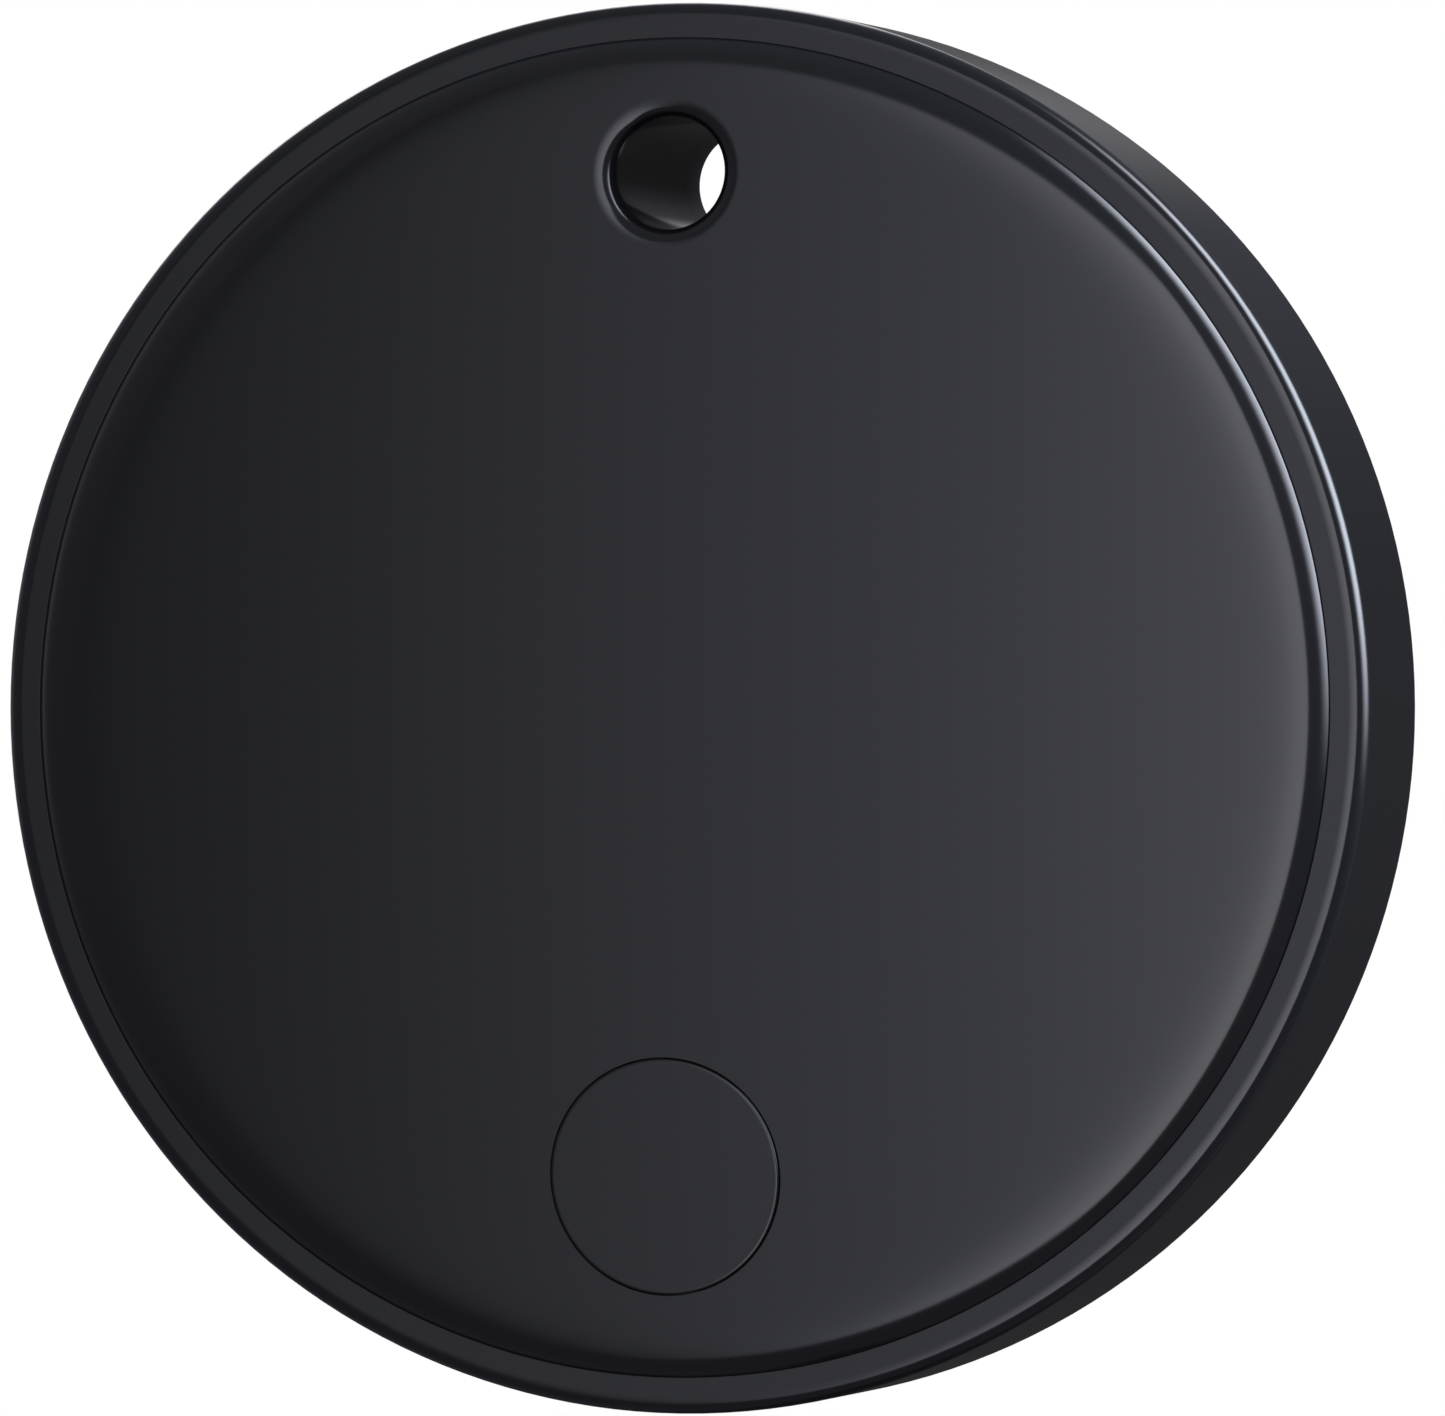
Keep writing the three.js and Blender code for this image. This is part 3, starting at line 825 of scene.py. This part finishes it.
class TAG_OT_front_cover(bpy.types.Operator):
    """Model the domed front panel with the keyring sleeve and the hole for the button"""

    bl_idname = "tag.front_cover"
    bl_label = "Front Cover"

    def execute(self, context):
        bore = size("bore_radius")
        mouth = size("front_mouth")
        wall_top = 0.1
        collar = (bore + 1.1 * mouth, FLAT, HOLE_UP)
        border = RING_INNER - size("panel_groove")
        roll_start = (RING_INNER - 1.3, FLAT, 0)
        inner_border = (SKIRT_INNER, UNDER, 0)
        rings = [
            (bore, COVER_REAR, HOLE_UP),
            (bore, wall_top, HOLE_UP),
            *mouth_rings(mouth),
            *along(mouth_rings(mouth)[-1], collar, 2),
            *along(collar, roll_start, 36, 1.8),
            *along(roll_start, (border, FLAT, 0), 24, 1.3),
            (border, panel_height(border) - HOLD, 0),
            (border, SKIRT_FRONT, 0),
            (SKIRT_INNER, SKIRT_FRONT, 0),
            inner_border,
            *along(inner_border, (SLEEVE_RADIUS, UNDER, HOLE_UP), 14),
            (SLEEVE_RADIUS, COVER_REAR, HOLE_UP),
            (bore, COVER_REAR, HOLE_UP),
        ]
        piece = stacked("casing_front", rings)
        reshape(piece, FLAT, lambda axis, hole: panel_height(axis) - mouth_drop(hole, mouth))
        reshape(piece, UNDER, lambda axis, hole: crown(axis) - SHELL)
        outward(piece)
        carve(piece, self.button_hole())
        # A small angle keeps the joint lines from shading the panel beside them
        smooth(piece, 15)
        hand_over(piece, "front_cover", "black_plastic")
        return {"FINISHED"}

    def button_hole(self):
        """The tool for the button's hole, whose edge it leaves rounded."""
        radius = size("button_radius") + size("button_groove")
        edge = size("edge") / 6
        deep = -4
        tool = turned("button_hole", [
            (0, deep),
            (radius, deep),
            *arc(radius + edge, -edge, edge, edge, 180, 110, 3),
            (radius + 2 * edge, edge),
            (0, edge),
        ], 128, up=BUTTON_UP)
        follow_dome(tool)
        return tool


class TAG_OT_rear_cover(bpy.types.Operator):
    """Model the rear cover with its rounded shoulder, its skirt and its end of the keyring sleeve"""

    bl_idname = "tag.rear_cover"
    bl_label = "Rear Cover"

    def execute(self, context):
        bore = size("bore_radius")
        mouth = size("rear_mouth")
        shoulder = size("rear_shoulder")
        edge = size("edge")
        inner = REAR_FACE + SHELL
        sleeve_top = WASHER_REAR - FIT
        # The sleeve's thin lip, which runs inside the washer and hides it from the bore
        lip = bore + FIT - 0.01
        lip_top = COVER_REAR - 0.02
        shoulder_start = REAR_RADIUS - shoulder
        plateau = (shoulder_start + 0.2, FLAT, 0)
        shoulder_rings = [
            (shoulder_start + shoulder * math.sin(math.radians(turn)), FLAT, 0) for turn in range(10, 91, 5)
        ]
        corner = SHELL / 2
        inner_corner = arc(
            shoulder_start, inner + corner, SKIRT_INNER - shoulder_start, -corner, 15, 90, 5)
        foot = 0.3
        sleeve_foot = arc(SLEEVE_RADIUS + foot, inner + foot, -foot, -foot, 60, 0, 2)
        rings = [
            (bore, lip_top, HOLE_UP),
            (bore, REAR_FACE + 2 * mouth, HOLE_UP),
            *mouth_rings(mouth),
            *along(mouth_rings(mouth)[-1], plateau, 34, 1.8),
            *shoulder_rings,
            (REAR_RADIUS, REAR_SKIRT - edge, 0),
            (REAR_RADIUS - edge, REAR_SKIRT, 0),
            (SKIRT_INNER + edge, REAR_SKIRT, 0),
            (SKIRT_INNER, REAR_SKIRT - edge, 0),
            (SKIRT_INNER, inner + corner, 0),
            *[(radius, out, 0) for radius, out in inner_corner],
            *along((shoulder_start, inner, 0), (SLEEVE_RADIUS + foot, inner, HOLE_UP), 6),
            *[(radius, out, HOLE_UP) for radius, out in sleeve_foot],
            (SLEEVE_RADIUS, sleeve_top - edge, HOLE_UP),
            (SLEEVE_RADIUS - edge, sleeve_top, HOLE_UP),
            (lip, sleeve_top, HOLE_UP),
            (lip, lip_top, HOLE_UP),
            (bore, lip_top, HOLE_UP),
        ]
        piece = stacked("casing_rear", rings)
        reshape(piece, FLAT, lambda axis, hole: rear_height(axis) + mouth_drop(hole, mouth))
        outward(piece)
        smooth(piece)
        hand_over(piece, "rear_cover", "black_plastic")
        return {"FINISHED"}


class TAG_OT_button(bpy.types.Operator):
    """Model the push button's cap, whose top follows the dome"""

    bl_idname = "tag.button"
    bl_label = "Button"

    def execute(self, context):
        radius = size("button_radius")
        edge = size("edge") * 1.25
        flange_top, flange_bottom = -0.15, -0.45
        nub_radius = 1
        wall_foot = -0.4
        dome_here = crown(abs(BUTTON_UP))
        outline = [
            (0, CAP_REAR - dome_here),
            (nub_radius, CAP_REAR - dome_here),
            (nub_radius, flange_bottom - dome_here),
            (FLANGE_RADIUS - edge, flange_bottom - dome_here),
            (FLANGE_RADIUS, flange_bottom - dome_here + edge),
            (FLANGE_RADIUS, flange_top - dome_here - edge),
            (FLANGE_RADIUS - edge, flange_top - dome_here),
            (radius, flange_top - dome_here),
            (radius, wall_foot),
            *arc(radius - edge, -edge, edge, edge, 0, 90, 5),
            *along((radius - edge, 0), (0, 0), 8),
        ]
        piece = turned("button", outline, 128, up=BUTTON_UP)
        self.lift(piece, dome_here)
        smooth(piece)
        hand_over(piece, "button_cap", "black_plastic")
        return {"FINISHED"}

    def lift(self, piece, dome_here):
        """Lets the cap's top follow the dome, and leaves its wall and flange square."""
        square_below = spot(0, 0, -0.3).y
        for vertex in piece.data.vertices:
            rise = dome_here
            if vertex.co.y < square_below:
                rise = crown(math.hypot(vertex.co.x, vertex.co.z - AXIS_Z) / MM) + size("button_rise")
            vertex.co.y -= rise * MM
        piece.data.update()


# ---------------------------------------------------------------- seals


class TAG_OT_seals(bpy.types.Operator):
    """Model the silicone seals of the rear cover and of the keyring sleeve"""

    bl_idname = "tag.seals"
    bl_label = "Seals"

    def execute(self, context):
        ring = self.seal("rear_seal", SKIRT_INNER, SEAL_RADIUS, SEAL_REAR, SEAL_FRONT, 0.2, 0)
        hand_over(ring, "case_seal", "silicone")
        inner = size("bore_radius") + FIT
        washer = self.seal("sleeve_seal", inner, SLEEVE_RADIUS, WASHER_REAR, WASHER_FRONT, 0.08, HOLE_UP)
        hand_over(washer, "keyring_seal", "silicone")
        return {"FINISHED"}

    def seal(self, name, inner, outer, rear, front, edge, up):
        """A moulded ring with rounded edges."""
        outline = [
            *arc(inner + edge, rear + edge, edge, edge, 180, 270, 5),
            *arc(outer - edge, rear + edge, edge, edge, 270, 360, 5),
            *arc(outer - edge, front - edge, edge, edge, 0, 90, 5),
            *arc(inner + edge, front - edge, edge, edge, 90, 180, 5),
        ]
        piece = turned(name, outline, around(), up=up)
        smooth(piece, 50)
        return piece


# ---------------------------------------------------------------- inside


class TAG_OT_battery(bpy.types.Operator):
    """Model the coin cell: its can, its cap and the gasket between them"""

    bl_idname = "tag.battery"
    bl_label = "Battery"

    def execute(self, context):
        can = self.can()
        smooth(can)
        hand_over(can, "battery_can", "steel")
        gasket = self.gasket()
        smooth(gasket)
        hand_over(gasket, "battery_gasket", "inner_plastic")
        cap = self.cap()
        smooth(cap)
        hand_over(cap, "battery_cap", "steel")
        return {"FINISHED"}

    def gasket(self):
        """The plastic ring between can and cap, with a lip that shows between them."""
        inner, outer = 9.35, 9.65
        rear = CELL_REAR + 0.4
        step = CELL_FRONT - 0.65
        lip, lip_round = 9, 0.1
        return turned("cell_gasket", [
            (inner, rear),
            (outer, rear),
            (outer, step + 0.1),
            (lip + lip_round, CELL_FRONT - 0.42),
            *arc(lip, CELL_FRONT - 0.2, lip_round, lip_round, 0, 180, 6),
            (lip - lip_round, step),
            (inner, step),
        ], 128)

    def cap(self):
        """The cap, a shallow steel dish whose flange the gasket grips."""
        face, wall, corner = 8.1, 8.85, 0.2
        flange_inner, flange_outer = 9.05, 9.3
        sheet = 0.25
        step = CELL_FRONT - 0.65
        rear = CELL_REAR + 0.5
        return turned("cell_cap", [
            (0, CELL_FRONT - sheet),
            (8.5, CELL_FRONT - sheet),
            (8.55, step - sheet),
            (flange_inner, CELL_FRONT - 0.95),
            (flange_inner, rear),
            (flange_outer, rear),
            (flange_outer, CELL_FRONT - 0.72),
            (wall, step),
            *arc(wall - corner, CELL_FRONT - corner, corner, corner, 0, 90, 6),
            (8.2, CELL_FRONT),
            (face, CELL_FRONT - 0.05),
            (0, CELL_FRONT - 0.05),
        ], 128)

    def can(self):
        """The can, with a plus sign pressed into its flat face."""
        wall = 0.28
        corner = 0.4
        rim, rim_foot = 0.2, CELL_FRONT - 0.3
        crimp = CELL_RADIUS - 0.8
        inner = CELL_RADIUS - wall
        can = turned("cell_can", [
            (0, CELL_REAR),
            *arc(CELL_RADIUS - corner, CELL_REAR + corner, corner, corner, 270, 360, 8),
            (CELL_RADIUS, rim_foot),
            *arc(CELL_RADIUS - rim, rim_foot, rim, rim, 0, 90, 4),
            (crimp, CELL_FRONT - 0.2),
            (crimp, CELL_FRONT - 0.35),
            (inner, CELL_FRONT - 0.5),
            (inner, CELL_REAR + wall),
            (0, CELL_REAR + wall),
        ], 160)
        arm, half, up, depth, edge = 1.3, 0.22, 6, 0.05, 0.04
        past, pressed = CELL_REAR - 1, CELL_REAR + depth
        sign = slab("plus_bar", (-arm, up - half, past), (arm, up + half, pressed), edge)
        post = slab("plus_post", (-half, up - arm, past), (half, up + arm, pressed), edge)
        unite(sign, post)
        carve(can, sign)
        return can


class TAG_OT_carrier(bpy.types.Operator):
    """Model the plastic tray round the coin cell"""

    bl_idname = "tag.carrier"
    bl_label = "Battery Carrier"

    def execute(self, context):
        pocket = CELL_RADIUS + 0.25
        wall = 1
        outer = SHELF_RADIUS - 0.2
        floor = CARRIER_FRONT - 1.2
        flange_top = SHELF_REAR - FIT
        flange_bottom = flange_top - 0.75
        edge = 0.12
        tray = turned("cell_tray", [
            (pocket, CARRIER_FRONT),
            *arc(pocket + 2 * edge, CARRIER_REAR + 2 * edge, 2 * edge, 2 * edge, 180, 270, 4),
            *arc(pocket + wall - edge, CARRIER_REAR + edge, edge, edge, 270, 360, 3),
            (pocket + wall, floor),
            (outer - wall, floor),
            *arc(outer - wall + edge, CARRIER_REAR + edge, edge, edge, 180, 270, 3),
            *arc(outer - edge, CARRIER_REAR + edge, edge, edge, 270, 360, 3),
            (outer, flange_bottom),
            (CARRIER_FLANGE, flange_bottom),
            (CARRIER_FLANGE, flange_top),
            (outer, flange_top),
            (outer, CARRIER_FRONT),
        ])
        rib_count, rib_half, rib_edge = 12, 0.4, 0.06
        ribs = [
            slab(
                "rib", (pocket + wall / 2, -rib_half, CARRIER_REAR + 0.4),
                (outer - wall / 2, rib_half, floor + 0.2), rib_edge, (number + 0.5) * 360 / rib_count, 2)
            for number in range(rib_count)
        ]
        unite(tray, *ribs)
        past = 1
        rear, front = CARRIER_REAR - past, CARRIER_FRONT + past
        slot_end, slot_half = 13, 2
        scoop_radius = 3
        scoop_front = CARRIER_REAR + (CELL_FRONT - CELL_REAR) / 2
        carve(
            tray,
            rod("sleeve_notch", SLEEVE_CLEARANCE, rear, front, up=HOLE_UP),
            slab("notch_mouth", (-SLEEVE_CLEARANCE, HOLE_UP, rear), (SLEEVE_CLEARANCE, CASE_RADIUS, front)),
            slab("contact_slot", (-slot_end, -slot_half, rear), (-pocket + 0.5, slot_half, front)),
            rod("finger_scoop", scoop_radius, rear, scoop_front, x=pocket + wall),
        )
        smooth(tray)
        hand_over(tray, "battery_carrier", "inner_plastic")
        return {"FINISHED"}


class TAG_OT_foam(bpy.types.Operator):
    """Model the foam pad behind the coin cell and the foam ring in front of the sounder"""

    bl_idname = "tag.foam"
    bl_label = "Foam"

    def execute(self, context):
        pad = self.cushion("cell_cushion", 0, half_width("battery_pad"), *levels("battery_pad"))
        hand_over(pad, "battery_pad", "foam")
        ring_outer = half_width("piezo_foam_ring")
        ring = self.cushion("sounder_cushion", ring_outer - 1, ring_outer, *levels("piezo_foam_ring"))
        hand_over(ring, "piezo_foam_ring", "foam")
        return {"FINISHED"}

    def cushion(self, name, inner, outer, rear, front):
        """Die-cut foam whose cut edges bulge."""
        half = (front - rear) / 2
        level = (front + rear) / 2
        edge = half * 0.6
        outline = [
            *arc(outer - edge, level - (half - edge), edge, edge, 270, 360, 5),
            *arc(outer - edge, level + (half - edge), edge, edge, 0, 90, 5),
        ]
        if inner:
            outline += [
                *arc(inner + edge, level + (half - edge), edge, edge, 90, 180, 5),
                *arc(inner + edge, level - (half - edge), edge, edge, 180, 270, 5),
            ]
        else:
            outline = [(0, rear), *outline, (0, front)]
        piece = turned(name, outline, 128)
        smooth(piece, 60)
        return piece


class TAG_OT_kept_pieces(bpy.types.Operator):
    """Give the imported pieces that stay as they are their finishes"""

    bl_idname = "tag.kept_pieces"
    bl_label = "Board and Sounder"

    def execute(self, context):
        for slot, nodes in KEPT.items():
            for node in nodes:
                frame["nodes"][node].material_slots[0].material = finish_for(slot)
        return {"FINISHED"}


# ---------------------------------------------------------------- stage

# How the camera stands to the tag, in degrees and in case radii. The spin is the tag's own, about its
# axis, as seen from the camera.
VIEW_TURN = 15.56
VIEW_PITCH = 0.13
VIEW_ROLL = -0.73
VIEW_SPIN = 0.8
VIEW_DISTANCE = 17.5
VIEW_SHIFT = (-0.0666, 0.0007)
RADIUS_IN_FRAME = 0.4894        # the case's radius as a share of the frame's width
SENSOR = 36

# The front light: its bearings, its heights and how softly it ends in each. Its colours run from a
# bearing of minus to plus FRONT_HALF, and the first two stops are their ends.
FRONT_BEARINGS = (-38, 41)
FRONT_HEIGHTS = (-51, 40)
FRONT_SOFT = (2, 4)
FRONT_HALF = 40
FRONT_STOPS = [
    (0.0, (0.12, 0.125, 0.15)), (1.0, (2.6, 2.62, 2.8)), (0.1, (0.14, 0.145, 0.17)),
    (0.2, (0.35, 0.36, 0.42)), (0.3, (0.6, 0.61, 0.71)), (0.4, (0.88, 0.9, 1.04)),
    (0.5, (1.46, 1.48, 1.7)), (0.75, (2.3, 2.32, 2.58)),
]

# The other soft boxes: their bearings, their heights, how softly they end in each, and their colour
SOFT_BOXES = [
    ((86, 122), (3, 60), (16, 12), (12, 12.9, 14.8)),
    ((-170, -140), (18, 55), (10, 10), (4.6, 4.6, 4.7)),
    ((-130, -95), (-5, 45), (8, 8), (0.28, 0.28, 0.31)),
]

# The room between the lights, and where one of its colours fades into another
ROOM_LOW = (0.12, 0.12, 0.15)
ROOM_HIGH = (0.21, 0.215, 0.25)
ROOM_HEIGHTS = (-35, 35)
ROOM_BEHIND = (0.036, 0.0355, 0.038)
BEHIND_BEARINGS = (138, 160)
BEHIND_HEIGHTS = (4, 34)


class TAG_OT_stage(bpy.types.Operator):
    """Set up the camera, the studio light and the pale floor"""

    bl_idname = "tag.stage"
    bl_label = "Stage"

    def execute(self, context):
        self.camera(context)
        self.light(context)
        self.floor()
        return {"FINISHED"}

    def camera(self, context):
        turn = (
            Matrix.Rotation(math.radians(VIEW_ROLL), 3, "Z")
            @ Matrix.Rotation(math.radians(VIEW_PITCH), 3, "X")
            @ Matrix.Rotation(math.radians(-VIEW_TURN), 3, "Y")
            @ Matrix.Rotation(math.radians(VIEW_SPIN), 3, "Z"))
        eye = turn.transposed() @ -Vector((*VIEW_SHIFT, -VIEW_DISTANCE)) * CASE_RADIUS
        upright = Matrix(((1, 0, 0), (0, 0, -1), (0, 1, 0)))
        bpy.ops.object.select_all(action="DESELECT")
        bpy.ops.object.camera_add()
        camera = bpy.context.object
        camera.name = "camera"
        camera.matrix_world = Matrix.Translation(spot(*eye)) @ (upright @ turn.transposed()).to_4x4()
        camera.data.sensor_width = SENSOR
        camera.data.lens = SENSOR * RADIUS_IN_FRAME * VIEW_DISTANCE
        camera.data.clip_start = 0.01
        camera.data.clip_end = 20
        context.scene.camera = camera
        context.scene.view_settings.view_transform = "Standard"

    def light(self, context):
        """A studio of soft boxes, drawn round the horizon by bearing from the tag's front, to its
        right, and height, both in degrees. The backdrop that the camera sees is plain white."""
        world = bpy.data.worlds.new("studio")
        world.use_nodes = True
        context.scene.world = world
        nodes = Nodes(world.node_tree)
        x, y, z = nodes.apart(nodes.node("ShaderNodeTexCoord", output="Generated"))
        degrees = 180 / math.pi
        bearing = x.bearing(y * -1.0) * degrees
        height = z.arcsine() * degrees
        room = nodes.blend(height.rise(*ROOM_HEIGHTS), ROOM_LOW, ROOM_HIGH)
        turned_away = bearing.maths("ABSOLUTE", bearing).rise(*BEHIND_BEARINGS)
        behind = turned_away * (1 - height.rise(*BEHIND_HEIGHTS))
        room = nodes.blend(behind, room, ROOM_BEHIND)
        across = (bearing + FRONT_HALF) * (1 / (2 * FRONT_HALF))
        front = nodes.node("ShaderNodeValToRGB", {"stops": FRONT_STOPS}, {0: across})
        wide, tall = FRONT_SOFT
        window = bearing.window(*FRONT_BEARINGS, wide) * height.window(*FRONT_HEIGHTS, tall)
        lit = nodes.blend(window, room, front)
        for (low, high), (down, up), (wide, tall), shade in SOFT_BOXES:
            share = bearing.window(low, high, wide) * height.window(down, up, tall)
            lit = nodes.blend(share, lit, shade)
        studio = nodes.node("ShaderNodeBackground", None, {"Color": lit})
        backdrop = nodes.node("ShaderNodeBackground", None, {"Color": (1, 1, 1)})
        seen = nodes.node("ShaderNodeLightPath", output="Is Camera Ray")
        both = nodes.node("ShaderNodeMixShader", None, {0: seen, 1: studio, 2: backdrop})
        nodes.join(both, world.node_tree.nodes["World Output"].inputs["Surface"])

    def floor(self):
        """A plain pale floor below the tag, which only shows from above."""
        below = 45
        reach = 400
        bpy.ops.object.select_all(action="DESELECT")
        bpy.ops.mesh.primitive_plane_add(size=2 * reach * MM, location=spot(0, -CASE_RADIUS - below, 0))
        floor = named("floor")
        settle(floor)
        finish = Finish("pale_floor", colour("floor"), 0.8, 0.0, {"Emission Strength": 1.0})
        cloud = finish.noise(40, 2.0)
        finish.vary("Base Color", finish.blend(cloud, (0.78, 0.78, 0.78), (0.82, 0.82, 0.82)))
        finish.vary("Emission Color", (0.55, 0.55, 0.55))
        clear = finish.node("ShaderNodeBsdfTransparent")
        back = finish.node("ShaderNodeNewGeometry", output="Backfacing")
        shown = Wire(finish, finish.shader.outputs["BSDF"])
        one_sided = finish.node("ShaderNodeMixShader", None, {0: back, 1: shown, 2: clear})
        finish.join(one_sided, finish.tree.nodes["Material Output"].inputs["Surface"])
        floor.data.materials.append(finish.material)
        floor.visible_glossy = False
        floor.visible_diffuse = False


# ---------------------------------------------------------------- add-on

OPERATORS = [
    TAG_OT_outer_frame,
    TAG_OT_front_cover,
    TAG_OT_rear_cover,
    TAG_OT_button,
    TAG_OT_seals,
    TAG_OT_battery,
    TAG_OT_carrier,
    TAG_OT_foam,
    TAG_OT_kept_pieces,
    TAG_OT_stage,
]


class TAG_PT_panel(bpy.types.Panel):
    """The tag's pieces and settings"""

    bl_idname = "TAG_PT_panel"
    bl_label = "Tracker Tag"
    bl_space_type = "VIEW_3D"
    bl_region_type = "UI"
    bl_category = "Tracker Tag"

    def draw(self, context):
        column = self.layout.column()
        for operator in OPERATORS:
            column.operator(operator.bl_idname)
        for group in (context.scene.tag_sizes, context.scene.tag_colours):
            box = self.layout.box()
            for name in group.__annotations__:
                box.prop(group, name)


CLASSES = [TagSizes, TagColours, *OPERATORS, TAG_PT_panel]


def register():
    for each in CLASSES:
        bpy.utils.register_class(each)
    bpy.types.Scene.tag_sizes = PointerProperty(type=TagSizes)
    bpy.types.Scene.tag_colours = PointerProperty(type=TagColours)


def unregister():
    del bpy.types.Scene.tag_colours
    del bpy.types.Scene.tag_sizes
    for each in reversed(CLASSES):
        bpy.utils.unregister_class(each)


def main():
    register()
    for operator in OPERATORS:
        getattr(bpy.ops.tag, operator.bl_idname.split(".")[1])()


if __name__ == "__main__":
    main()
